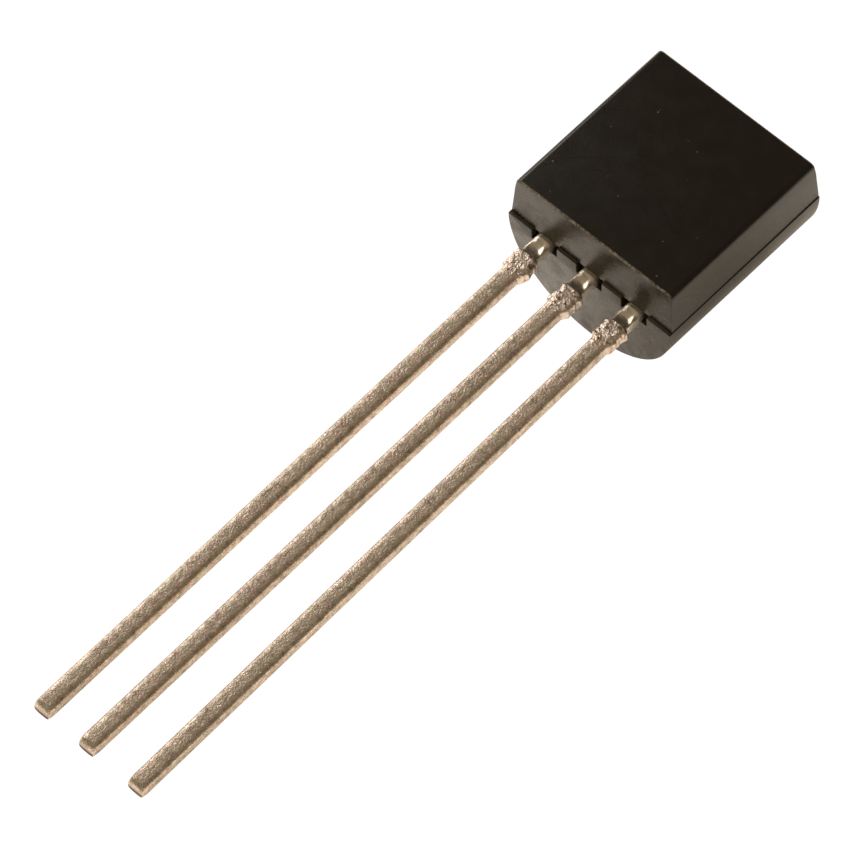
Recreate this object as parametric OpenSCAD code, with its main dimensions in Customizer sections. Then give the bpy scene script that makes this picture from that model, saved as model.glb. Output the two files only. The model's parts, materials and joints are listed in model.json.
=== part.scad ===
// Three-lead transistor in a moulded half-round case, lying flat side up as it comes to rest.
// Each piece is drawn in the body's own axes: X runs across the body, Y from the leads to the
// top of the body, and Z out of the flat face. Z = 0 is the mould's parting plane, and the
// front faces of the leads lie in it. laid() then turns every piece to the resting attitude.

/* [Body] */
// Width of the back half at the parting plane
body_w = 4.58; // [4.3:0.02:5.5]
// Height of the body's front half, measured along the leads
body_h = 4.62; // [4.2:0.02:5.6]
// Depth from the parting plane to the flat face
front_d = 1.20; // [1:0.05:1.5]
// Straight stretch at each side of the back, before the half round
back_straight = 0.04; // [0.02:0.01:0.3]
// How far the back half stands out past the front half at the lead end
ledge = 0.08; // [0.05:0.01:0.2]
// How far the front half is set in from the back half at each side
side_step = 0.02; // [0.01:0.01:0.06]
// Draft of the front half's two sides, in degrees
side_draft = 3.7; // [2:0.1:7]
// Draft of the front half's two ends, in degrees
end_draft = 3.9; // [2:0.1:7]
// Draft of the back half's two ends, in degrees
back_draft = 0.5; // [0.5:0.5:4]
// Radius of the flat face's two long edges, at the sides
side_edge_r = 0.14; // [0.05:0.01:0.2]
// Radius of the flat face's edges at the two ends
end_edge_r = 0.04; // [0.02:0.01:0.2]
// Width of the relief in the back half on each side of a lead
relief_w = 0.14; // [0.04:0.01:0.2]
// Depth of the reliefs behind the parting plane
relief_d = 0.30; // [0.05:0.01:0.4]
// How far the reliefs run into the back half, from the front half's end face
relief_in = 0.10; // [0.02:0.01:0.2]

/* [Leads] */
// Width of a lead, across the flat face
lead_w = 0.44; // [0.36:0.01:0.56]
// Thickness of the lead frame's sheet
lead_t = 0.36; // [0.3:0.01:0.51]
// Distance between neighbouring leads, centre to centre
lead_pitch = 1.27; // [1.2:0.01:1.5]
// Radius of a lead's long edges below its stubs, as the plating leaves them
lead_edge_r = 0.10; // [0.04:0.01:0.12]
// Length of the leads, from the front half's end face
lead_len = 15.1; // [10:0.1:18]
// Angle by which the leads lean towards the round back, in degrees
lead_lean = 0.9; // [0:0.1:2]
// Angle by which the collector lead is splayed outwards, in degrees
collector_splay = 0.45; // [0:0.05:1]
// Distance from the front half's end face to the cut stubs of the tie bar
stub_gap = 0.55; // [0.3:0.05:1.5]
// Height of a stub, along the lead
stub_h = 0.60; // [0.3:0.05:1]
// Width of a lead across its two stubs
stub_w = 0.62; // [0.6:0.01:0.8]
// Length of the rolled-over edge that the cutter leaves at a tip
tip_roll_l = 0.10; // [0.02:0.01:0.2]
// Depth of the rolled-over edge at a tip
tip_roll_d = 0.08; // [0.02:0.01:0.15]

/* [Inside the body] */
// Width of the head on the emitter and base leads
head_w = 0.90; // [0.7:0.05:1]
// Height of the head on the emitter and base leads
head_h = 0.80; // [0.4:0.05:1]
// Distance from the front half's end face to the heads
head_y = 0.90; // [0.6:0.05:1.2]
// Width of the collector lead's flag
flag_w = 2.30; // [1.8:0.05:2.6]
// Height of the flag
flag_h = 1.40; // [1:0.05:1.5]
// Space between the heads and the flag
flag_gap = 0.45; // [0.3:0.05:0.6]
// Side of the square die
die_w = 0.42; // [0.3:0.02:0.7]
// Thickness of the die
die_t = 0.20; // [0.1:0.01:0.3]
// Thickness of the bond layer under the die
attach_t = 0.02; // [0.01:0.005:0.04]
// Width by which the bond layer shows round the die
attach_rim = 0.03; // [0.01:0.01:0.06]
// Diameter of the bond wires
wire_d = 0.025; // [0.02:0.005:0.05]
// Height of a wire's loop above the die
loop_h = 0.22; // [0.1:0.02:0.35]

/* [Hidden] */
$fn = 96;

half_w = body_w / 2;
front_half_w = half_w - side_step;
back_d = back_straight + half_w;
// Room that a cutting shape runs past what it cuts
past = 1;

emitter_x = -lead_pitch;
base_x = 0;
collector_x = lead_pitch;
head_top = head_y + head_h;
flag_y = head_top + flag_gap;
flag_top = flag_y + flag_h;
flag_right = collector_x + lead_w / 2;
flag_left = flag_right - flag_w;
tip_drop = (lead_len - ledge) * tan(lead_lean);

die_x = (flag_left + flag_right) / 2;
die_y = flag_y + flag_h / 2;
die_top = attach_t + die_t;
// The two bond pads lie at a share of the die's width from its centre
pad_off = die_w / 4;
ball_d = 3.2 * wire_d;
ball_t = 0.8 * wire_d;
wedge_t = 0.5 * wire_d;
head_mid_y = head_y + head_h / 2;
// Distance from a stub's lower end to where the edges start to be eased
ease_below = 0.05;
// Room that keeps the flats of the easing bar clear of the lead's own flats
ease_room = 0.006;
wire_sides = 8;
wire_rings = 14;
arc_steps = 6;

// The part rests on the heel of its round back and on the back edges of the three lead tips
heel_y = -ledge + back_d * tan(back_draft);
rest_tilt = atan((back_d - tip_drop - lead_t) / (heel_y + lead_len));
rest_lift = back_d * cos(rest_tilt) - heel_y * sin(rest_tilt);
low_y = -lead_len * cos(rest_tilt) + (tip_drop + tip_roll_d) * sin(rest_tilt);
top_y = (body_h - back_d * tan(back_draft)) * cos(rest_tilt) + back_d * sin(rest_tilt);
mid_y = (low_y + top_y) / 2;

// Points on a circle about centre c, from angle a to angle b
function arc(c, r, a, b) =
    [for (k = [0:arc_steps]) c + r * [cos(a + (b - a) * k / arc_steps), sin(a + (b - a) * k / arc_steps)]];

// Half-section of the front half on one side: from the parting plane up, with its rounded edge.
// The side starts at distance w from the middle and leans inwards by the draft.
function drafted_side(w, draft, edge_r) =
    let (up = front_d - edge_r,
        out = w - (edge_r + up * sin(draft)) / cos(draft))
    concat([[w, 0]], arc([out, up], edge_r, draft, 90));

// Whole section of the front half between lo and hi
function drafted_section(lo, hi, draft, edge_r) =
    let (mid = (lo + hi) / 2, side = drafted_side((hi - lo) / 2, draft, edge_r), n = len(side))
    concat([for (p = side) [mid + p[0], p[1]]],
        [for (k = [n - 1:-1:0]) [mid - side[k][0], side[k][1]]]);

// Turns an outline drawn as (Y, Z) into a solid that runs across the body
module across() {
    rotate([90, 0, 90]) linear_extrude(body_w + 2 * past, center = true) children();
}

// Turns an outline drawn as (X, Z) into a solid that runs down the body from y_top
module down(y_top, length) {
    translate([0, y_top, 0]) rotate([90, 0, 0]) linear_extrude(length) children();
}

module laid() {
    translate([0, -mid_y, rest_lift]) rotate([rest_tilt, 0, 0]) children();
}

module front_half() {
    intersection() {
        down(body_h + past, body_h + 2 * past)
            polygon(drafted_section(-front_half_w, front_half_w, side_draft, side_edge_r));
        across() polygon(drafted_section(0, body_h, end_draft, end_edge_r));
    }
}

module back_outline() {
    translate([-half_w, -back_straight]) square([body_w, back_straight]);
    difference() {
        translate([0, -back_straight]) circle(half_w);
        translate([-half_w - past, -back_straight]) square([body_w + 2 * past, half_w + past]);
    }
}

module back_half() {
    deep = back_d + past;
    lean = deep * tan(back_draft);
    intersection() {
        down(body_h + past, body_h + 2 * past) back_outline();
        across() polygon([[-ledge, 0], [body_h, 0], [body_h - lean, -deep], [-ledge + lean, -deep]]);
    }
}

// The back half stands clear of each lead where it leaves the body. The outline is (Y, Z), and
// its step keeps the relief under the front half.
module lead_relief(x) {
    translate([x, 0, 0]) rotate([90, 0, 90]) linear_extrude(lead_w + 2 * relief_w, center = true)
        polygon([[-ledge - past, -relief_d], [relief_in, -relief_d], [relief_in, 0],
            [0, 0], [0, past], [-ledge - past, past]]);
}

// Outline of a lead seen from the front. inside lists the points of its right edge inside the
// body, from the top down, and inside_left those of its left edge, both measured from x.
// Outside the body each point moves outwards with its distance from the ledge, by the splay.
function lead_outline(x, inside, inside_left, splay) =
    let (stub_end = stub_gap + stub_h,
        side = [[lead_w / 2, ledge], [lead_w / 2, stub_gap], [stub_w / 2, stub_gap],
            [stub_w / 2, stub_end], [lead_w / 2, stub_end], [lead_w / 2, lead_len]],
        shift = [for (p = side) x + (p[1] - ledge) * tan(splay)],
        n = len(side),
        m = len(inside_left))
    concat([for (p = inside) [x + p[0], p[1]]],
        [for (k = [0:n - 1]) [shift[k] + side[k][0], -side[k][1]]],
        [for (k = [n - 1:-1:0]) [shift[k] - side[k][0], -side[k][1]]],
        [for (k = [m - 1:-1:0]) [x + inside_left[k][0], inside_left[k][1]]]);

// Side view of a lead: straight in the body, leaning back outside it, sheared at the tip
module lead_side_view(top) {
    near_tip = lead_len - tip_roll_l;
    across() polygon([[top, 0], [-ledge, 0], [-near_tip, (ledge - near_tip) * tan(lead_lean)],
        [-lead_len, -tip_drop - tip_roll_d], [-lead_len, -tip_drop - lead_t],
        [-ledge, -lead_t], [top, -lead_t]]);
}

// Section of a lead with its edges eased, larger than the lead itself by the room all round
function eased_section(room) =
    let (r = lead_edge_r + room * (2 + sqrt(2)),
        a = lead_w / 2 + room - r,
        b = lead_t / 2 + room - r)
    concat(arc([a, b], r, 0, 90), arc([-a, b], r, 90, 180),
        arc([-a, -b], r, 180, 270), arc([a, -b], r, 270, 360));

// What a lead at x keeps when its edges are eased: all of it down to just below the stubs, and
// from there a bar that follows the lean and the splay
module eased_space(x, splay) {
    easing_y = stub_gap + stub_h + ease_below;
    translate([-half_w, -easing_y, -back_d]) cube([body_w, easing_y + body_h, back_d + past]);
    translate([x, -ledge, -lead_t / 2]) rotate([90 + lead_lean, 0, splay])
        translate([0, 0, stub_gap]) linear_extrude(lead_len) polygon(eased_section(ease_room));
}

// A lead cut from sheet: the outline given as children, with the side view of a lead
module sheet_lead(x, top, splay) {
    intersection() {
        translate([0, 0, -back_d]) linear_extrude(back_d + past) children();
        lead_side_view(top);
        eased_space(x, splay);
    }
}

// A straight lead with a head that locks it in the body
module headed_lead(x) {
    head = [[head_w / 2, head_top], [head_w / 2, head_y], [lead_w / 2, head_y]];
    sheet_lead(x, head_top, 0) polygon(lead_outline(x, head, [for (p = head) [-p[0], p[1]]], 0));
}

// The collector lead runs up beside the heads and turns into the flag above them
module flag_lead() {
    left = flag_left - collector_x;
    flag = [[left, flag_top], [left, flag_y], [-lead_w / 2, flag_y]];
    sheet_lead(collector_x, flag_top, collector_splay)
        polygon(lead_outline(collector_x, [[lead_w / 2, flag_top]], flag, collector_splay));
}

module bond_layer() {
    side = die_w + 2 * attach_rim;
    translate([die_x - side / 2, die_y - side / 2, 0]) cube([side, side, attach_t]);
}

module die_block() {
    translate([die_x - die_w / 2, die_y - die_w / 2, attach_t]) cube([die_w, die_w, die_t]);
}

// Height of a wire at share u of its way: steep at the ball, long and low towards the wedge
function wire_z(u) = (die_top + ball_t / 2) * (1 - u) + wedge_t * u + loop_h * sin(180 * sqrt(u));

// One ring of the wire, standing across its run
function wire_ring(from, to, u) =
    let (step = 0.01,
        run = to - from,
        dir = run / norm(run),
        rise = (wire_z(min(u + step, 1)) - wire_z(max(u - step, 0)))
            / (norm(run) * (min(u + step, 1) - max(u - step, 0))),
        lean = atan(rise),
        c = from + run * u)
    [for (k = [0:wire_sides - 1])
        let (a = 360 * k / wire_sides, s = wire_d / 2 * cos(a), n = wire_d / 2 * sin(a))
        [c[0] - dir[1] * s - dir[0] * n * sin(lean), c[1] + dir[0] * s - dir[1] * n * sin(lean),
            wire_z(u) + n * cos(lean)]];

// A bond wire from a pad on the die to a lead's head, with its ball and its wedge
module bond_wire(from, to) {
    points = [for (k = [0:wire_rings - 1]) each wire_ring(from, to, k / (wire_rings - 1))];
    walls = [for (r = [0:wire_rings - 2], k = [0:wire_sides - 1])
        let (n = (k + 1) % wire_sides, a = r * wire_sides)
        [a + k, a + wire_sides + k, a + wire_sides + n, a + n]];
    ends = [[for (k = [0:wire_sides - 1]) k],
        [for (k = [wire_sides - 1:-1:0]) (wire_rings - 1) * wire_sides + k]];
    polyhedron(points, concat(walls, ends));
    translate([from[0], from[1], die_top]) cylinder(d = ball_d, h = ball_t);
    translate([to[0] - ball_d / 2, to[1] - ball_d / 2, 0]) cube([ball_d, ball_d, wedge_t]);
}

module base_wire() {
    bond_wire([die_x + pad_off, die_y - pad_off], [base_x, head_mid_y]);
}

module emitter_wire() {
    bond_wire([die_x - pad_off, die_y + pad_off], [emitter_x, head_mid_y]);
}

module epoxy_body() {
    color("#2a2824") laid() difference() {
        union() {
            front_half();
            back_half();
        }
        for (x = [emitter_x, base_x, collector_x]) lead_relief(x);
        headed_lead(emitter_x);
        headed_lead(base_x);
        flag_lead();
        bond_layer();
        die_block();
        base_wire();
        emitter_wire();
    }
}

module emitter_lead() {
    color("#8f877c") laid() headed_lead(emitter_x);
}

module base_lead() {
    color("#8f877c") laid() headed_lead(base_x);
}

module collector_lead() {
    color("#8f877c") laid() flag_lead();
}

module die_attach() {
    color("#b9b3a8") laid() bond_layer();
}

module silicon_die() {
    color("#4a4f5c") laid() die_block();
}

module base_bond_wire() {
    color("#d9b45a") laid() base_wire();
}

module emitter_bond_wire() {
    color("#d9b45a") laid() emitter_wire();
}

epoxy_body();
emitter_lead();
base_lead();
collector_lead();
die_attach();
silicon_die();
base_bond_wire();
emitter_bond_wire();
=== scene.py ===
# %% [markdown]
# # A three-lead transistor in a moulded half-round case
#
# The part is tiny: a black epoxy body about 4.6 mm wide, with three tinned legs 15 mm long.
# At this scale the eye reads it by a few things only: how crisp the moulded edges are, how the
# satin epoxy mirrors what is near it, and how rough and mottled the tin on the legs is.
# This lesson builds the visible pieces as meshes round a finished CAD frame, gives each piece
# the finish of its real process, and lights it as a small product on a bright table.

import json
import math

import bmesh
import bpy
from mathutils import Matrix, Vector, noise

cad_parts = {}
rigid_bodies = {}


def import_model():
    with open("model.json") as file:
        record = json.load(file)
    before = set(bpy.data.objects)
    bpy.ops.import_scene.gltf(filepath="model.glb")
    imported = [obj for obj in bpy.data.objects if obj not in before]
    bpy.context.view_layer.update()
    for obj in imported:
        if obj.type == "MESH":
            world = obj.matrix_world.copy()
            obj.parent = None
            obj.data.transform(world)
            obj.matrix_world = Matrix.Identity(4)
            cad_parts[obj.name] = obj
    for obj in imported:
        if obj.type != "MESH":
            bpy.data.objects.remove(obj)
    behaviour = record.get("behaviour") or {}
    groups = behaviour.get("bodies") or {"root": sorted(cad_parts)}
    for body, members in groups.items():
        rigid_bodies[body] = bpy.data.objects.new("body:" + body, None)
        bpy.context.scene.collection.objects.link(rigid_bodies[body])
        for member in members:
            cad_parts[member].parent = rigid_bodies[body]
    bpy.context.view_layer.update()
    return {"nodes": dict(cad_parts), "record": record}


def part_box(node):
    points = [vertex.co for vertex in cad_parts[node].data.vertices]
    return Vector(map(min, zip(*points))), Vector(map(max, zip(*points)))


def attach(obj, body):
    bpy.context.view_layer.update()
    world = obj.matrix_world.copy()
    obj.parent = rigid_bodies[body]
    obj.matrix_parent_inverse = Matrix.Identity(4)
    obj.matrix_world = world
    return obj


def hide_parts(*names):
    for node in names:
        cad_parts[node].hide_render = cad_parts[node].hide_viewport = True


MM = 0.001

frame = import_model()
mounts = {mount["name"]: mount for mount in frame["record"]["mounts"]}
print("nodes:", ", ".join(sorted(frame["nodes"])))

# %% [markdown]
# ## The sizes that drive everything
#
# All sizes are in millimetres, in the body's own axes: X across it, Y from the legs to its top,
# and Z out of its flat face, with Z = 0 on the plane where the two halves of the mould part. The
# width is measured on the frame. The others repeat the sizes of the CAD parts, because a box
# round a part can't tell a draft or an edge radius.

# %% Sizes of the case and of the legs
body_low, body_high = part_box("epoxy_body")
body_w = (body_high[0] - body_low[0]) / MM
half_w = body_w / 2
body_h = 4.62  # along Y, at the parting plane
front_d = 1.20  # from the parting plane to the flat face
back_straight = 0.04  # from the parting plane to the centre of the half round
ledge = 0.08  # the back half stands out this far past the front half at the lead end
side_step = 0.02  # and this far on each side
side_draft = math.radians(3.7)
end_draft = math.radians(3.9)
back_draft = math.radians(0.5)
side_edge_r = 0.14  # the two long edges of the flat face

lead_w = 0.44
lead_t = 0.36
lead_pitch = 1.27
lead_places = (-lead_pitch, 0, lead_pitch)
lead_len = 15.1
lead_lean = math.radians(0.9)  # the legs lean back a little

relief_w = 0.14  # clearance on each side of a leg, where it leaves the body
relief_d = 0.30  # from the parting plane into the back half
relief_in = 0.10  # and this far in along the leg
relief_half = lead_w / 2 + relief_w
print("body", round(body_w, 2), "x", body_h, "mm, legs every", lead_pitch, "mm")

# %% [markdown]
# ## The matrix that lays the part down
#
# The part lies tilted, resting on the heel of its round back and on its lead tips. Modelling is
# far easier in the body's own axes, so one matrix lays every point down afterwards. The flat
# face's mount gives both the direction and the place of that face, so the matrix follows the
# frame and is not fitted by eye.

# %% From the body's own axes to the frame's
across = Vector((1, 0, 0))
outward = Vector(mounts["flat_side"]["axis"]).normalized()
along = outward.cross(across)
face_middle = Vector(mounts["flat_side"]["pos_m"])
datum = face_middle - along * (body_h / 2 * MM) - outward * (front_d * MM)
rest_tilt = math.atan2(along.z, along.y)

lay_down = Matrix.Translation(datum) @ Matrix((across, along, outward)).transposed().to_4x4()
lay_down = lay_down @ Matrix.Scale(MM, 4)
print("tilt of the body at rest:", round(math.degrees(rest_tilt), 2), "degrees")

# %% [markdown]
# ## From a bmesh to a piece of the frame
#
# Every piece here is a closed mesh made in code. `make_piece` turns a bmesh drawn in the body's
# own millimetres into an object in metres, lays it down, marks edges sharper than a limit, and
# ties it to the frame: it rides on the root body and replaces its CAD node.

# %% Make a piece
def make_piece(name, shape, sharp_degrees, node):
    bmesh.ops.recalc_face_normals(shape, faces=shape.faces)
    mesh = bpy.data.meshes.new(name)
    shape.to_mesh(mesh)
    shape.free()
    mesh.transform(lay_down)
    mesh.polygons.foreach_set("use_smooth", [True] * len(mesh.polygons))
    mesh.set_sharp_from_angle(angle=math.radians(sharp_degrees))
    piece = bpy.data.objects.new(name, mesh)
    bpy.context.scene.collection.objects.link(piece)
    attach(piece, "root")
    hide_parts(node)
    print(name, len(mesh.vertices), "points,", len(mesh.polygons), "faces")
    return piece


# %% [markdown]
# ## The body's section
#
# The case is moulded in two half cavities that meet at the parting plane. The front half is a
# trapezium in section, because its sides are drafted so that it leaves the mould, and its two
# long edges are rounded. The back half is a half round, a trace wider than the front half,
# because the two cavities never match to the last hundredth. That step is real geometry here,
# so the hairline that runs round the case is a dark line from every side.

# %% Section of the two halves, as (x, z) points from the right side to the left
edge_steps = 8
round_steps = 72
front_half_w = half_w - side_step


def arc(centre, radius, start, end, steps):
    angles = [start + (end - start) * k / steps for k in range(steps + 1)]
    return [(centre[0] + radius * math.cos(a), centre[1] + radius * math.sin(a)) for a in angles]


def front_section():
    up = front_d - side_edge_r
    out = front_half_w - (side_edge_r + up * math.sin(side_draft)) / math.cos(side_draft)
    right = [(front_half_w, 0)]
    right += arc((out, up), side_edge_r, side_draft, math.pi / 2, edge_steps)
    return right + [(-x, z) for x, z in reversed(right)]


def back_section():
    bowl = arc((0, -back_straight), half_w, 0, -math.pi, round_steps)
    return [(half_w, 0)] + bowl + [(-half_w, 0)]


print("section points:", len(front_section()), "front,", len(back_section()), "back")

# %% [markdown]
# ## Where a section starts and stops
#
# Each half is its section run along Y between two ends. The ends are drafted too, so how far a
# point of the section runs depends on how far it lies from the parting plane.

# %% A point of the section at either end of its half
def front_low(x, z):
    return (x, z * math.tan(end_draft), z)


def front_high(x, z):
    return (x, body_h - z * math.tan(end_draft), z)


def back_low(x, z):
    return (x, -ledge - z * math.tan(back_draft), z)


def back_high(x, z):
    return (x, body_h + z * math.tan(back_draft), z)


face_ends = [round(end(0, front_d)[1], 3) for end in (front_low, front_high)]
print("flat face runs from y =", face_ends[0], "to", face_ends[1], "mm")

# %% [markdown]
# ## The body as one closed mesh
#
# The back half stands out past the front one at the lead end, which leaves the narrow ledge that
# the legs cross, and it has a relief round each leg, where the mould stood clear of the metal. A
# boolean would do it too, but building the faces one by one keeps every face where it is wanted,
# which is what makes a clean bevel possible afterwards. Faces that meet share their corners, so
# the mesh closes by itself. Each face also says here which of the case's four finishes it has.

# %% Faces that share their corners
# The trimmed finish is a lighter brown, painted light on the ledge and in the reliefs. The worn
# finish has pale flecks, a painted highlight on the rim of the flat face.
SATIN = 0
POLISHED = 1
TRIMMED_PAINTED_LIGHT = 2
RIM_PAINTED_HIGHLIGHT = 3


def face_maker(shape):
    corners = {}

    def corner(point):
        key = tuple(round(value, 6) for value in point)
        if key not in corners:
            corners[key] = shape.verts.new(point)
        return corners[key]

    def face(points, finish=SATIN):
        made = shape.faces.new([corner(point) for point in points])
        made.material_index = finish

    return face


print("numbers of satin, polished, trimmed and worn:", SATIN, POLISHED, TRIMMED_PAINTED_LIGHT, RIM_PAINTED_HIGHLIGHT)


# %% The relief round one leg
# The relief's faces take the trimmed finish, whose lighter brown is painted light in this recess.
def relief_faces(face, left, right):
    for side in (left, right):
        face([(side, 0, 0), back_low(side, 0), back_low(side, -relief_d),
              (side, relief_in, -relief_d), (side, relief_in, 0)], TRIMMED_PAINTED_LIGHT)
    near = [(left, relief_in, -relief_d), (right, relief_in, -relief_d)]
    high = [(right, relief_in, 0), (left, relief_in, 0)]
    face([back_low(right, -relief_d), back_low(left, -relief_d)] + near, TRIMMED_PAINTED_LIGHT)
    face(near + high, TRIMMED_PAINTED_LIGHT)
    face(high + [(left, 0, 0), (right, 0, 0)], TRIMMED_PAINTED_LIGHT)


# %% Build the body's faces
def build_body():
    shape = bmesh.new()
    face = face_maker(shape)
    front = front_section()
    back = back_section()
    for a, b in zip(front, front[1:]):
        face([front_low(*a), front_low(*b), front_high(*b), front_high(*a)])
    for a, b in zip(back, back[1:]):
        face([back_low(*b), back_low(*a), back_high(*a), back_high(*b)])
    for side in (-1, 1):
        inner = side * front_half_w
        outer = side * half_w
        face([(inner, 0, 0), (inner, body_h, 0), (outer, body_h, 0),
              back_low(outer, 0), back_low(inner, 0)])

    ledge_ends = [-front_half_w]
    front_edge = []
    back_edge = [back_low(-front_half_w, 0)]
    for x in lead_places:
        left = x - relief_half
        right = x + relief_half
        ledge_ends += [left, right]
        front_edge += [front_low(left, 0), front_low(right, 0)]
        back_edge += [back_low(left, 0), back_low(left, -relief_d),
                      back_low(right, -relief_d), back_low(right, 0)]
        relief_faces(face, left, right)
    ledge_ends.append(front_half_w)
    back_edge.append(back_low(front_half_w, 0))
    for left, right in zip(ledge_ends[::2], ledge_ends[1::2]):
        face([(left, 0, 0), (right, 0, 0), back_low(right, 0), back_low(left, 0)], TRIMMED_PAINTED_LIGHT)

    face([front_low(*p) for p in front] + front_edge, POLISHED)
    face([back_low(*p) for p in back] + back_edge, POLISHED)
    face([front_high(*p) for p in front], POLISHED)
    top_step = [(-front_half_w, body_h, 0), (front_half_w, body_h, 0)]
    face([back_high(*p) for p in back] + top_step, POLISHED)
    return shape


body_shape = build_body()
print("open edges:", sum(not edge.is_manifold for edge in body_shape.edges))

# %% [markdown]
# ## Soft moulded edges
#
# No moulded edge is a mathematical one: the mould's own corners are worn to a few hundredths of
# a millimetre. Two bevels round them: a wider one where the front half's ends meet its faces,
# and a finer one on everything else that is sharp. They give the thin highlights that tell the
# eye how small and how crisp the part is. Round the rim of the flat face the wider bevel gets
# pale flecks, a painted highlight of broken glints, and its lower stretches are set back to satin.

# %% Bevel the rims and make the piece
end_edge_r = 0.04
lip_edge_r = 0.014
sharp_limit = math.radians(30)
bevel_steps = 3
like_neighbours = -1
case_sharp = 28


def bevel_edges(shape, radius, is_wanted, finish=like_neighbours):
    shape.normal_update()
    chosen = [edge for edge in shape.edges
              if edge.calc_face_angle_signed(0) > sharp_limit and is_wanted(edge)]
    bmesh.ops.bevel(shape, geom=chosen, offset=radius, offset_type="OFFSET",
                    segments=bevel_steps, profile=0.5, affect="EDGES", clamp_overlap=False,
                    material=finish)
    print(len(chosen), "edges rounded by", radius, "mm")


def in_front_half(edge):
    return min(vert.co.z for vert in edge.verts) > lip_edge_r


bmesh.ops.recalc_face_normals(body_shape, faces=body_shape.faces)
bevel_edges(body_shape, end_edge_r, in_front_half, RIM_PAINTED_HIGHLIGHT)
for rim_face in body_shape.faces:
    is_below_rim = rim_face.calc_center_median().z < front_d - end_edge_r
    if rim_face.material_index == RIM_PAINTED_HIGHLIGHT and is_below_rim:
        rim_face.material_index = SATIN
bevel_edges(body_shape, lip_edge_r, lambda edge: not in_front_half(edge))
body = make_piece("epoxy_case", body_shape, case_sharp, "epoxy_body")

# %% [markdown]
# ## The legs
#
# The legs are punched from one sheet of copper alloy, plated with tin, and joined by a tie bar
# until the body has been moulded. Then the bar is cropped away, which leaves a torn stub on each
# side of every leg, and the tips are sheared off. A leg is a loft here: closed rings strung along
# Y. Each ring is a superellipse, because one number, its power, takes it from the crisp
# rectangle of the bare sheet to the soft, slightly domed section that the plating leaves.

# %% One ring of a leg
ring_points = 56
sheet_power = 24
plated_power = 4.0
torn_power = 5
tip_power = 2.7


def ring(left, right, back, front, power):
    """Points (x, z) of a superellipse that fills the given box."""
    points = []
    for k in range(ring_points):
        angle = 2 * math.pi * (k + 0.5) / ring_points
        cosine = math.cos(angle)
        sine = math.sin(angle)
        out = math.copysign(abs(cosine) ** (2 / power), cosine)
        up = math.copysign(abs(sine) ** (2 / power), sine)
        points.append(((left + right) / 2 + (right - left) / 2 * out,
                       (front + back) / 2 + (front - back) / 2 * up))
    return points


print("points in a ring:", len(ring(0, lead_w, -lead_t, 0, plated_power)))

# %% [markdown]
# ## Torn stubs and a dished neck
#
# The torn stubs are the part that a plain extrusion never has. Their edges move in and out with
# noise, and their skin is pushed about by a few hundredths of a millimetre, so that each facet
# catches the light on its own. Just below the body the metal was clamped by the mould, and it is
# lightly dished there. The noise is a fixed function of place, so each run gives the same legs.

# %% How the stubs, the dish and the tips are sized
stub_gap = 0.55
stub_h = 0.60
stub_end = stub_gap + stub_h
stub_w = 0.62
stub_mean = 0.75  # share of the stub's width that is left on average
stub_swing = 0.6
stub_waves = 4  # per millimetre
torn_from = (stub_gap - 0.02, stub_gap + 0.05)
torn_until = (stub_end - 0.12, stub_end + 0.02)
tear = 0.04
tear_waves = 15
tear_shares = (1, 0.35)  # on the left and right edge, since the punch tears one side more
dent = 0.018
dent_waves = 9
other_noise = 40  # far enough away in the noise to be unlike the first

dish = 0.065
dish_middle = 0.33
dish_reach = 0.24
dish_swing = 0.9
dish_waves = 6
dish_seed = 3.1

tip_round = 0.16
tip_narrow = 0.02
tip_sink = 0.13


def ease(value, start, end):
    """0 at start, 1 at end, smooth between."""
    t = min(1, max(0, (value - start) / (end - start)))
    return t * t * (3 - 2 * t)


def wave(*spot):
    return noise.noise(Vector(spot))


def torn_share(down):
    """1 on the stub, 0 away from it, at a distance down from the front half's end face."""
    return ease(down, *torn_from) * (1 - ease(down, *torn_until))


print("torn share in the middle of a stub:", torn_share(stub_gap + stub_h / 2))


# %% The outline of a leg at a distance down, and its skin
def half_width(down, seed, edge):
    """From the leg's middle to its left edge (1) or right edge (2)."""
    stub = (stub_w - lead_w) / 2 * (stub_mean + stub_swing * wave(down * stub_waves, seed, edge))
    teeth = tear_shares[edge - 1] * tear * wave(down * tear_waves, seed, edge + 3)
    return lead_w / 2 + torn_share(down) * (stub + teeth)


def skin_shift(side, down, depth, seed):
    """How far dents and the dish move a point that lies to the side and at a depth."""
    push = dent * torn_share(down)
    spot = (side * dent_waves, down * dent_waves, depth * dent_waves + seed)
    shift_x = push * wave(*spot)
    shift_z = push * wave(spot[0] + other_noise, spot[1], spot[2])
    if depth > -lead_t / 2:
        lengthwise = max(0, 1 - ((down - dish_middle) / dish_reach) ** 2)
        crosswise = max(0, 1 - (side / (lead_w / 2)) ** 2)
        uneven = 1 + dish_swing * wave(side * dish_waves, down * dish_waves, dish_seed)
        shift_z -= dish * lengthwise * crosswise * uneven
    return shift_x, shift_z


def outside_ring(x, splay, seed, down):
    """The ring of the leg at x, at a distance down from the front half's end face."""
    past_ledge = max(0, down - ledge)
    middle = x + past_ledge * math.tan(splay)
    front = -past_ledge * math.tan(lead_lean)
    round_off = max(0, 1 - (lead_len - down) / tip_round)
    roll = 1 - math.sqrt(max(0, 1 - round_off ** 2))
    narrow = tip_narrow * roll
    power = plated_power + (torn_power - plated_power) * torn_share(down)
    power += (tip_power - plated_power) * round_off
    points = ring(middle - half_width(down, seed, 1) + narrow,
                  middle + half_width(down, seed, 2) - narrow,
                  front - lead_t + narrow, front - tip_sink * roll, power)
    placed = []
    for px, pz in points:
        shift_x, shift_z = skin_shift(px - middle, down, pz - front, seed)
        placed.append((px + shift_x, pz + shift_z))
    return placed


tip_ring = outside_ring(0, 0, 0, lead_len)
print("width left at a tip:", round(max(px for px, pz in tip_ring) * 2, 3), "mm")

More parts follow.
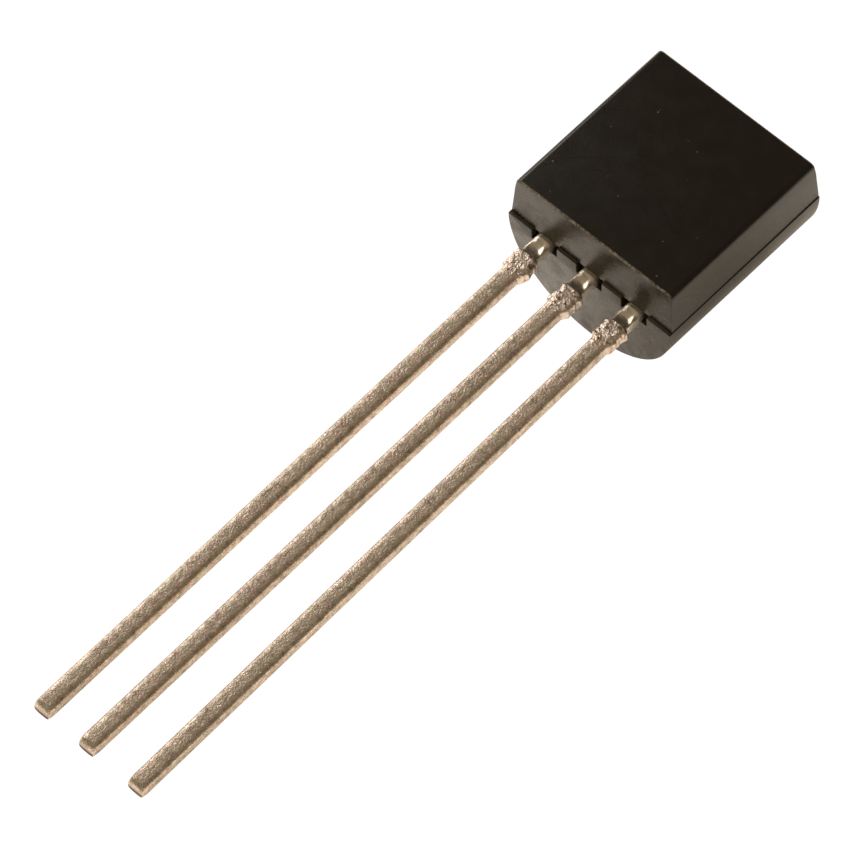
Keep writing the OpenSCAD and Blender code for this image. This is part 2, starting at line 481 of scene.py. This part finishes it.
# %% [markdown]
# ## Rings strung along a leg
#
# Rings lie close together where the leg is torn or rounded, and far apart on the plain stretch,
# so that the triangles go where there is something to see. Inside the body a leg widens at once
# into its head, and the collector's into the flag that carries the chip.

# %% Where the rings are
fine_step = 0.018
coarse_step = 0.12
tip_steps = 8
rough_end = stub_end + 0.15  # a little past the stub

head_y = 0.90
head_top = 1.70
head_w = 0.90
flag_y = 2.15
flag_top = 3.55
flag_w = 2.30
shoulder = 0.001  # a loft can't widen in no length at all


def spread(start, end, step):
    count = round((end - start) / step)
    return [start + (end - start) * k / count for k in range(count)]


def outside_stations():
    downs = spread(0, rough_end, fine_step)
    downs += spread(rough_end, lead_len - tip_round, coarse_step)
    for k in range(tip_steps + 1):
        downs.append(lead_len - tip_round * (1 - math.sin(k / tip_steps * math.pi / 2)))
    return downs


def head_stations(x):
    """(y, left, right) from the top of the head down to the leg's own width."""
    left = x - head_w / 2
    right = x + head_w / 2
    return [(head_top, left, right), (head_y + shoulder, left, right),
            (head_y, x - lead_w / 2, x + lead_w / 2)]


def flag_stations(x):
    """The same for the flag, which reaches past the base's head toward the emitter's."""
    right = x + lead_w / 2
    left = right - flag_w
    return [(flag_top, left, right), (flag_y + shoulder, left, right),
            (flag_y, x - lead_w / 2, right)]


print("rings outside the body:", len(outside_stations()))

# %% Loft the three legs
TINNED = 0
SHEARED = 1
leg_sharp = 60
collector_splay = math.radians(0.45)
leg_plan = (
    ("emitter_leg", "emitter_lead", -lead_pitch, head_stations, 0, 3.1),
    ("base_leg", "base_lead", 0, head_stations, 0, 8.4),
    ("collector_leg", "collector_lead", lead_pitch, flag_stations, collector_splay, 14.7),
)


def leg_shape(x, inside, splay, seed):
    shape = bmesh.new()
    rings = []

    def add_ring(points, y):
        rings.append([shape.verts.new((px, y, pz)) for px, pz in points])

    for y, left, right in inside:
        add_ring(ring(left, right, -lead_t, 0, sheet_power), y)
    for down in outside_stations():
        add_ring(outside_ring(x, splay, seed, down), -down)

    for upper, lower in zip(rings, rings[1:]):
        for k in range(ring_points):
            n = (k + 1) % ring_points
            wall = shape.faces.new([upper[k], upper[n], lower[n], lower[k]])
            wall.material_index = TINNED
    shape.faces.new(rings[0][::-1])
    cut_end = shape.faces.new(rings[-1])
    cut_end.material_index = SHEARED
    return shape


legs = []
for name, node, x, stations, splay, seed in leg_plan:
    leg = leg_shape(x, stations(x), splay, seed)
    legs.append(make_piece(name, leg, leg_sharp, node))

# %% [markdown]
# ## Colours and nodes
#
# Colours are written as the hex values that a paint program shows, and one function turns them
# into the linear values that Blender's shaders work in. One more function adds a node, with its
# settings, its links and, for a colour ramp, its stops, so that each material below reads like a
# recipe. A third starts a material with its coordinates: the body's own axes, in millimetres, so
# that every pattern can be sized in real millimetres.

# %% Colour and node helpers
def linear(hex_colour):
    channels = [int(hex_colour[i:i + 2], 16) / 255 for i in (1, 3, 5)]
    low_end = [c / 12.92 for c in channels]
    rest = [((c + 0.055) / 1.055) ** 2.4 for c in channels]
    return tuple(a if c <= 0.04045 else b for c, a, b in zip(channels, low_end, rest)) + (1,)


def add(tree, kind, inputs=None, stops=(), **settings):
    node = tree.nodes.new("ShaderNode" + kind)
    for name, value in settings.items():
        setattr(node, name, value)
    for name, value in (inputs or {}).items():
        if isinstance(value, bpy.types.NodeSocket):
            tree.links.new(value, node.inputs[name])
        else:
            node.inputs[name].default_value = value
    for k, (position, hex_colour) in enumerate(stops):
        if k >= len(node.color_ramp.elements):
            node.color_ramp.elements.new(1)
        node.color_ramp.elements[k].position = position
        node.color_ramp.elements[k].color = linear(hex_colour)
    return node


def new_material(name):
    material = bpy.data.materials.new(name)
    material.use_nodes = True
    tree = material.node_tree
    tree.nodes.clear()
    place = add(tree, "TexCoord").outputs["Object"]
    own = add(tree, "Mapping", {"Vector": place, "Location": tuple(datum),
                                "Rotation": (rest_tilt, 0, 0)}, vector_type="TEXTURE")
    scaled = add(tree, "VectorMath", {0: own.outputs["Vector"], "Scale": 1 / MM},
                 operation="SCALE")
    return material, tree, scaled.outputs["Vector"]


# A Mix node's colours are its inputs 6 and 7 and its output 2.
# Its plain numbers are its inputs 2 and 3 and its output 0.
print("helpers ready; mid grey is", round(linear("#808080")[0], 3))

# %% [markdown]
# ## The case: filled epoxy moulding compound
# The case is epoxy with about four fifths of ground silica in it, and a little carbon black. Up
# close it is a warm near-black rather than a pure black, with a fine grain where the mould was
# spark-eroded, some pale specks where a silica grain lies at the surface, and a few hair-thin
# arcs from rubbing against its neighbours in the bag. Four finishes share one recipe. Most of
# the case is satin. The end faces come off a polished part of the mould, so they mirror the
# legs. The ledge and the reliefs are matt, where flash was trimmed away, and their lighter brown
# is painted light in those recesses. The rim of the flat face has pale flecks, a painted
# highlight of broken glints. The rim of
# the flat face is worn, which bares pale silica in spots.

# %% Filled epoxy, as moulded
grain_mm = 0.035
speck_mm = 0.16  # one cell, of which a speck fills the middle
speck_edge = 0.16
speck_core = 0.08
speck_pick = 0.84  # cells whose random value is below this have no speck
silica = "#5f584a"
scratch_mm = 0.9  # from one arc to the next
scratch_line = 0.985  # nearer 1 is thinner
scratch_patch_mm = 1.1
scratch_gloss = -0.1
scratch_height = 0.12


def epoxy_colour(tree, place, cloud, dark, pale):
    cells = add(tree, "TexVoronoi", {"Vector": place, "Scale": 1 / speck_mm, "Randomness": 1})
    size = add(tree, "MapRange", {"Value": cells.outputs["Distance"],
                                  "From Min": speck_edge, "From Max": speck_core})
    pick = add(tree, "SeparateColor", {"Color": cells.outputs["Color"]})
    chosen = add(tree, "MapRange", {"Value": pick.outputs["Red"],
                                    "From Min": speck_pick, "From Max": 1})
    speck = add(tree, "Math", {0: size.outputs["Result"], 1: chosen.outputs["Result"]},
                operation="MULTIPLY")
    resin = add(tree, "ValToRGB", {"Fac": cloud}, stops=[(0.35, dark), (0.7, pale)])
    colour = add(tree, "Mix", {"Factor": speck.outputs["Value"], 6: resin.outputs["Color"],
                               7: linear(silica)}, data_type="RGBA")
    return colour.outputs[2]


def hair_scratches(tree, place):
    hair = add(tree, "TexWave", {"Vector": place, "Scale": 1 / scratch_mm, "Distortion": 3,
                                 "Detail": 1, "Detail Scale": 0.4},
               wave_type="RINGS", rings_direction="SPHERICAL")
    line = add(tree, "MapRange", {"Value": hair.outputs["Fac"],
                                  "From Min": scratch_line, "From Max": 1})
    patch = add(tree, "TexNoise", {"Vector": place, "Scale": 1 / scratch_patch_mm, "Detail": 1})
    where = add(tree, "MapRange", {"Value": patch.outputs["Fac"],
                                   "From Min": 0.56, "From Max": 0.62})
    scratch = add(tree, "Math", {0: line.outputs["Result"], 1: where.outputs["Result"]},
                  operation="MULTIPLY")
    return scratch.outputs["Value"]


def epoxy_finish(name, dark, pale, roughness, roughness_swing, grain_height, cloud_mm=0.5):
    material, tree, place = new_material(name)
    cloud = add(tree, "TexNoise", {"Vector": place, "Scale": 1 / cloud_mm, "Detail": 6,
                                   "Roughness": 0.65}).outputs["Fac"]
    grain = add(tree, "TexNoise", {"Vector": place, "Scale": 1 / grain_mm, "Detail": 2})
    scratch = hair_scratches(tree, place)
    mottle = add(tree, "MapRange", {"Value": cloud, "From Min": 0.35, "From Max": 0.65,
                                    "To Min": roughness - roughness_swing,
                                    "To Max": roughness + roughness_swing})
    rubbed = add(tree, "Math", {0: scratch, 1: scratch_gloss, 2: mottle.outputs["Result"]},
                 operation="MULTIPLY_ADD")
    height = add(tree, "Math", {0: scratch, 1: scratch_height, 2: grain.outputs["Fac"]},
                 operation="MULTIPLY_ADD")
    bump = add(tree, "Bump", {"Height": height.outputs["Value"], "Strength": 1,
                              "Distance": grain_height * MM})
    colour = epoxy_colour(tree, place, cloud, dark, pale)
    shader = add(tree, "BsdfPrincipled", {"Base Color": colour,
                                          "Roughness": rubbed.outputs["Value"],
                                          "Normal": bump.outputs["Normal"]})
    add(tree, "OutputMaterial", {"Surface": shader.outputs["BSDF"]})
    return material


print("grain", grain_mm, "mm, specks up to", round(2 * speck_edge * speck_mm, 3), "mm across")

# %% The four finishes of the case, in the order of the numbers on its faces
satin_epoxy = epoxy_finish("filled_epoxy_satin", "#070503", "#0c0906", roughness=0.31,
                           roughness_swing=0.03, grain_height=0.002)
polished_epoxy = epoxy_finish("filled_epoxy_polished", "#0e0c09", "#1d1913", roughness=0.28,
                              roughness_swing=0.13, grain_height=0.006)
# Its lighter brown is painted light on the ledge and in the reliefs; its matt roughness is real.
trimmed_flash_painted_light = epoxy_finish("filled_epoxy_trimmed_flash", "#1e1912", "#332c20", roughness=0.6,
                             roughness_swing=0.05, grain_height=0.006)
# Its pale flecks are a painted highlight of glints on the rim of the flat face.
rim_painted_highlight = epoxy_finish("filled_epoxy_worn_edge", "#0a0806", "#6f6759", roughness=0.3,
                         roughness_swing=0.1, grain_height=0.008, cloud_mm=0.11)
for finish in (satin_epoxy, polished_epoxy, trimmed_flash_painted_light, rim_painted_highlight):
    body.data.materials.append(finish)
    print("epoxy finish:", finish.name)

# %% [markdown]
# ## The legs: tin plating over copper alloy
#
# Matt tin is a grey metal with a grain of a few thousandths of a millimetre. That is too fine to
# show, so its flecks are drawn about ten times as coarse, in the bump; their near-white colour
# is painted glints. Handling and tin oxide leave it blotched in faint olive, mauve and tan,
# patch by patch. Right below the body it is smooth, because the mould clamped it there and
# solder flowed over it, and its near-white colour there is a painted highlight. Where the tie bar
# was cropped away it is paler and pinker, with the bare alloy showing through in spots. A metal's
# colour is its base colour, and its IOR is left alone.

# %% Which part of a leg a point is on
near_fade = 0.04
below_fade = (0.3, 0.1)


def leg_zones(tree, place):
    """Two values from 0 to 1: near the body, and on the cropped stub."""
    down = add(tree, "SeparateXYZ", {"Vector": place}).outputs["Y"]
    near = add(tree, "MapRange", {"Value": down, "From Min": -stub_gap - near_fade,
                                  "From Max": -stub_gap + near_fade},
               interpolation_type="SMOOTHSTEP")
    below = add(tree, "MapRange", {"Value": down, "From Min": -stub_end - below_fade[0],
                                   "From Max": -stub_end + below_fade[1]},
                interpolation_type="SMOOTHSTEP")
    cropped = add(tree, "Math", {0: below.outputs["Result"], 1: near.outputs["Result"]},
                  operation="SUBTRACT")
    return near.outputs["Result"], cropped.outputs["Value"]


print("stub from", stub_gap, "to", round(stub_end, 2), "mm below the body")

# %% Tin plating, rubbed and cropped
streak_mm = (0.06, 0.5, 0.06)
blotch_mm = 0.16
tint_mm = 0.11
fleck_mm = 0.05
streak_share = 0.3  # of the streaks in the shading
streak_relief = 0.15  # and in the bump
plating_height = 0.012
torn_height = 0.032
neck_roughness = 0.38
stub_gloss = -0.14
# Near-white flecks on the tin are painted glints.
painted_glint_colour = "#fffdf8"
cropped_colour = "#f3e6dc"
# The near-white colour of the neck is a painted highlight; its smoothness is real.
neck_highlight_colour = "#fff8ea"
alloy_colour = "#b08f7b"


def tin_colour(tree, place, shading, blotch, fleck, near, cropped):
    tint = add(tree, "TexNoise", {"Vector": place, "Scale": 1 / tint_mm, "Detail": 3})
    shade = add(tree, "ValToRGB", {"Fac": shading},
                stops=[(0.46, "#aea79d"), (0.62, "#cfc9c1"), (0.8, "#e8e3dc")])
    hue = add(tree, "ValToRGB", {"Fac": tint.outputs["Fac"]},
              stops=[(0.38, "#f5f3e6"), (0.5, "#fff7ee"), (0.62, "#fae6e4")])
    oxide = add(tree, "Mix", {"Factor": 1.0, 6: shade.outputs["Color"], 7: hue.outputs["Color"]},
                data_type="RGBA", blend_type="MULTIPLY")
    # Flecks of near-white, painted glints, strewn over the tin.
    painted_glints = add(tree, "MapRange", {"Value": fleck, "From Min": 0.6, "From Max": 0.68,
                                    "To Max": 0.7})
    flecked = add(tree, "Mix", {"Factor": painted_glints.outputs["Result"], 6: oxide.outputs[2],
                                7: linear(painted_glint_colour)}, data_type="RGBA")
    pale = add(tree, "Mix", {"Factor": cropped, 6: flecked.outputs[2],
                             7: linear(cropped_colour)}, data_type="RGBA")
    # The neck turns near-white, a painted highlight; its smoothness is set in the roughness.
    bright = add(tree, "Mix", {"Factor": near, 6: pale.outputs[2], 7: linear(neck_highlight_colour)},
                 data_type="RGBA")
    bare = add(tree, "MapRange", {"Value": blotch, "From Min": 0.55, "From Max": 0.62})
    copper = add(tree, "Math", {0: bare.outputs["Result"], 1: cropped}, operation="MULTIPLY")
    colour = add(tree, "Mix", {"Factor": copper.outputs["Value"], 6: bright.outputs[2],
                               7: linear(alloy_colour)}, data_type="RGBA")
    return colour.outputs[2]


def tin_finish():
    material, tree, place = new_material("tin_plating_on_copper_alloy")
    stretched = add(tree, "VectorMath", {0: place, 1: streak_mm}, operation="DIVIDE")
    streak = add(tree, "TexNoise", {"Vector": stretched.outputs["Vector"], "Scale": 1,
                                    "Detail": 3}).outputs["Fac"]
    blotch = add(tree, "TexNoise", {"Vector": place, "Scale": 1 / blotch_mm, "Detail": 4,
                                    "Roughness": 0.7}).outputs["Fac"]
    fleck = add(tree, "TexNoise", {"Vector": place, "Scale": 1 / fleck_mm,
                                   "Detail": 2}).outputs["Fac"]
    near, cropped = leg_zones(tree, place)
    shading = add(tree, "Math", {0: streak, 1: streak_share, 2: blotch},
                  operation="MULTIPLY_ADD").outputs["Value"]

    dull = add(tree, "MapRange", {"Value": shading, "From Min": 0.5, "From Max": 0.8,
                                  "To Min": 0.54, "To Max": 0.42})
    glint = add(tree, "Math", {0: cropped, 1: stub_gloss, 2: dull.outputs["Result"]},
                operation="MULTIPLY_ADD")
    rough = add(tree, "Mix", {"Factor": near, 2: glint.outputs["Value"], 3: neck_roughness})
    height = add(tree, "Math", {0: streak, 1: streak_relief, 2: fleck},
                 operation="MULTIPLY_ADD")
    away = add(tree, "Math", {0: 1.0, 1: near}, operation="SUBTRACT")
    fine = add(tree, "Bump", {"Height": height.outputs["Value"], "Strength": away.outputs["Value"],
                              "Distance": plating_height * MM})
    torn = add(tree, "Bump", {"Height": blotch, "Strength": cropped,
                              "Distance": torn_height * MM, "Normal": fine.outputs["Normal"]})
    colour = tin_colour(tree, place, shading, blotch, fleck, near, cropped)
    shader = add(tree, "BsdfPrincipled", {"Base Color": colour, "Metallic": 1,
                                          "Roughness": rough.outputs[0],
                                          "Normal": torn.outputs["Normal"]})
    add(tree, "OutputMaterial", {"Surface": shader.outputs["BSDF"]})
    return material


tin = tin_finish()
print("lead finish:", tin.name)

# %% [markdown]
# ## The sheared tips
#
# The tips are sheared off after plating. The blade burnishes the metal over most of the section
# and the last part breaks away, which is rougher; its dark brown colour is painted shade along
# the tip's lower edge. No tin covers either. Fine lines run the way the blade went, across the
# thickness of the leg.

# %% Sheared copper alloy
shear_mm = (0.02, 0.5, 0.5)
shear_height = 0.004
burnished_colour = "#a3958a"
# The dark brown of the broken part is painted shade along the tip's lower edge.
break_shade_colour = "#4d3226"
break_shade_from = 0.19  # where the metal starts to break away, from the back of the tip
break_shade_to = 0.14
ragged = 0.06  # how far that line wanders
tip_back = -lead_t - (lead_len - ledge) * math.tan(lead_lean)


def sheared_finish():
    material, tree, place = new_material("sheared_copper_alloy")
    stretched = add(tree, "VectorMath", {0: place, 1: shear_mm}, operation="DIVIDE")
    lines = add(tree, "TexNoise", {"Vector": stretched.outputs["Vector"], "Scale": 1,
                                   "Detail": 2}).outputs["Fac"]
    axes = add(tree, "SeparateXYZ", {"Vector": place})
    depth = add(tree, "Math", {0: lines, 1: ragged, 2: axes.outputs["Z"]},
                operation="MULTIPLY_ADD")
    break_and_shade = add(tree, "MapRange", {"Value": depth.outputs["Value"],
                                    "From Min": tip_back + break_shade_from,
                                    "From Max": tip_back + break_shade_to}).outputs["Result"]
    # Dark brown on the break, painted shade; its extra roughness is real.
    colour = add(tree, "Mix", {"Factor": break_and_shade, 6: linear(burnished_colour),
                               7: linear(break_shade_colour)}, data_type="RGBA")
    rough = add(tree, "MapRange", {"Value": break_and_shade, "To Min": 0.3, "To Max": 0.55})
    bump = add(tree, "Bump", {"Height": lines, "Strength": 1, "Distance": shear_height * MM})
    shader = add(tree, "BsdfPrincipled", {"Base Color": colour.outputs[2], "Metallic": 1,
                                          "Roughness": rough.outputs["Result"],
                                          "Normal": bump.outputs["Normal"]})
    add(tree, "OutputMaterial", {"Surface": shader.outputs["BSDF"]})
    return material


sheared = sheared_finish()
for leg in legs:
    leg.data.materials.append(tin)
    leg.data.materials.append(sheared)
print("tip finish:", sheared.name)

# %% [markdown]
# ## What the case hides
#
# The die, its adhesive and the two bond wires are inside the epoxy. No view of the closed part
# shows them, but a cut-away does, so they get their true finishes too. Silver flakes in resin
# glitter dully, sawn silicon is a blue grey with faint lines from the saw, and drawn gold is
# smooth and warm. The three share one recipe: a pattern gives two shades of the material and the
# height of a fine bump.

# %% Finishes of the inner pieces
flake_mm = 0.012
kerf_mm = 0.02  # drawn coarser than real saw lines, which would be too fine to show
draw_mm = 0.05  # and so are the marks on the wire


def inner_finish(name, pattern, stops, height, metallic, roughness):
    """A pattern is its node, its scale in millimetres, its output and its other settings."""
    kind, size, output, inputs, settings = pattern
    material, tree, place = new_material(name)
    marks = add(tree, kind, {"Vector": place, "Scale": 1 / size, **inputs}, **settings)
    colour = add(tree, "ValToRGB", {"Fac": marks.outputs[output]}, stops=stops)
    bump = add(tree, "Bump", {"Height": marks.outputs[output], "Strength": 1,
                              "Distance": height * MM})
    shader = add(tree, "BsdfPrincipled", {"Base Color": colour.outputs["Color"],
                                          "Metallic": metallic, "Roughness": roughness,
                                          "Normal": bump.outputs["Normal"]})
    add(tree, "OutputMaterial", {"Surface": shader.outputs["BSDF"]})
    return material


flakes = ("TexVoronoi", flake_mm, "Distance", {}, {})
kerf = ("TexWave", kerf_mm, "Fac", {"Distortion": 1},
        {"wave_type": "BANDS", "bands_direction": "Z"})
drawn = ("TexNoise", draw_mm, "Fac", {"Detail": 2}, {})

adhesive = inner_finish("silver_filled_adhesive", flakes, [(0.1, "#c9c6c0"), (0.8, "#8d8a84")],
                        height=0.002, metallic=0.7, roughness=0.5)
silicon = inner_finish("sawn_silicon", kerf, [(0.2, "#4f5259"), (0.9, "#6c7079")],
                       height=0.001, metallic=0.8, roughness=0.25)
gold = inner_finish("drawn_gold_wire", drawn, [(0.3, "#e0b04a"), (0.7, "#f2c766")],
                    height=0.0005, metallic=1, roughness=0.2)
inner_finishes = {"die_attach": adhesive, "silicon_die": silicon,
                  "base_bond_wire": gold, "emitter_bond_wire": gold}
for name, finish in inner_finishes.items():
    slots = frame["nodes"][name].material_slots
    for slot in slots:
        slot.material = finish
    print(name, "has", len(slots), "slot of", finish.name)

# %% [markdown]
# ## White paper
#
# Small parts are often shown on white paper that is burnt out to pure white. Most of the light
# that reaches the part then comes off the paper, from below and from the sides. Two sheets do
# this here. One is the ground that the camera sees, which shines pure white and does nothing
# else. The other is the real paper, a hair lower and hidden from the camera: the lamps light it,
# and the part's own shadow on it is what makes the right side of the case and the undersides of
# the legs darker. It also glows evenly, for the light that a whole room throws back on it.

# %% Two sheets of paper
paper_half = 2.0
paper_drop = 0.02 * MM
ground_shine = 1.05
paper_colour = "#f3f1ec"
glow_colour = "#ffedd6"
paper_glow = 0.37


def sheet(name, height):
    shape = bmesh.new()
    corners = [shape.verts.new((side_x * paper_half, side_y * paper_half, height))
               for side_x, side_y in ((-1, -1), (1, -1), (1, 1), (-1, 1))]
    shape.faces.new(corners)
    mesh = bpy.data.meshes.new(name)
    shape.to_mesh(mesh)
    shape.free()
    made = bpy.data.objects.new(name, mesh)
    bpy.context.scene.collection.objects.link(made)
    material = bpy.data.materials.new(name)
    material.use_nodes = True
    material.node_tree.nodes.clear()
    mesh.materials.append(material)
    return made, material.node_tree


ground, ground_tree = sheet("burnt_out_ground", 0)
shine = add(ground_tree, "Emission", {"Color": linear("#ffffff"), "Strength": ground_shine})
add(ground_tree, "OutputMaterial", {"Surface": shine.outputs["Emission"]})
for ray in ("diffuse", "glossy", "transmission", "volume_scatter", "shadow"):
    setattr(ground, "visible_" + ray, False)

paper, paper_tree = sheet("white_paper", -paper_drop)
fibre = add(paper_tree, "BsdfDiffuse", {"Color": linear(paper_colour)})
glow = add(paper_tree, "Emission", {"Color": linear(glow_colour), "Strength": paper_glow})
both = add(paper_tree, "AddShader", {0: fibre.outputs["BSDF"], 1: glow.outputs["Emission"]})
add(paper_tree, "OutputMaterial", {"Surface": both.outputs["Shader"]})
paper.visible_camera = False
print("ground and paper, half-size:", paper_half, "m")

# %% [markdown]
# ## A window, a lamp and a dim room
#
# A large soft window stands to the left and in front, and a smaller, weaker lamp further left
# fills in the side of the legs. The window is kept out of reflections, where its disc would lie
# on the glossy faces as a spot. The dim room above is what leaves the flat top of a black part
# black. It is a trace less warm to the right, away from the window.

# %% Lights and world
def soft_light(name, direction, distance, size, power, colour):
    data = bpy.data.lights.new(name, "AREA")
    data.shape = "DISK"
    data.size = size
    data.energy = power
    data.color = linear(colour)[:3]
    lamp = bpy.data.objects.new(name, data)
    toward = Vector(direction).normalized()
    lamp.location = toward * distance
    lamp.rotation_euler = toward.to_track_quat("Z", "Y").to_euler()
    bpy.context.scene.collection.objects.link(lamp)
    return lamp


left_window = soft_light("window_left", (-0.6, -0.45, 0.62), distance=0.3, size=0.24,
                         power=1.08, colour="#fff6ed")
left_window.visible_glossy = False
soft_lamp = soft_light("soft_lamp_left", (-0.81, 0.14, 0.57), distance=0.3, size=0.15,
                       power=0.26, colour="#fff7ef")

room_stops = [(0, "#ad9b7e"), (1, "#ad9b81")]
room_light = 0.53
to_the_right = (0.8, 0.45, 0.1)
world = bpy.data.worlds.new("dim_room")
bpy.context.scene.world = world
world.use_nodes = True
room = world.node_tree
room.nodes.clear()
heading = add(room, "TexCoord").outputs["Generated"]
side = add(room, "VectorMath", {0: heading, 1: to_the_right}, operation="DOT_PRODUCT")
turned = add(room, "MapRange", {"Value": side.outputs["Value"],
                                "From Min": -0.6, "From Max": 0.9})
shade = add(room, "ValToRGB", {"Fac": turned.outputs["Result"]}, stops=room_stops)
walls = add(room, "Background", {"Color": shade.outputs["Color"], "Strength": room_light})
add(room, "OutputWorld", {"Surface": walls.outputs["Background"]})
bpy.context.scene.view_settings.view_transform = "Standard"
print("lights:", left_window.name, "and", soft_lamp.name, "in", world.name)

# %% [markdown]
# ## The camera
#
# A long lens from well above and to the right, so that the body shows its flat face, its end and
# its right side at once and the legs run away almost in parallel. The camera is placed by two
# angles and a distance, and then turned a little about its own axis.

# %% Place the camera
azimuth = math.radians(38.71)
elevation = math.radians(53.78)
roll = math.radians(5.45)
distance = 150 * MM
target = Vector((-0.106, 0.155, 1.5)) * MM
lens_mm = 307

reach = math.cos(elevation)
towards = Vector((math.sin(azimuth) * reach, -math.cos(azimuth) * reach, math.sin(elevation)))
level = Vector((math.cos(azimuth), math.sin(azimuth), 0))
upright = towards.cross(level)
right = level * math.cos(roll) + upright * math.sin(roll)
up = upright * math.cos(roll) - level * math.sin(roll)

camera_data = bpy.data.cameras.new("camera")
camera_data.lens = lens_mm
camera_data.clip_start = 10 * MM
camera_data.clip_end = 10
camera = bpy.data.objects.new("camera", camera_data)
bpy.context.scene.collection.objects.link(camera)
camera.matrix_world = (Matrix.Translation(target + towards * distance)
                       @ Matrix((right, up, towards)).transposed().to_4x4())
bpy.context.scene.camera = camera
print("camera at", [round(value / MM, 1) for value in camera.location], "mm")
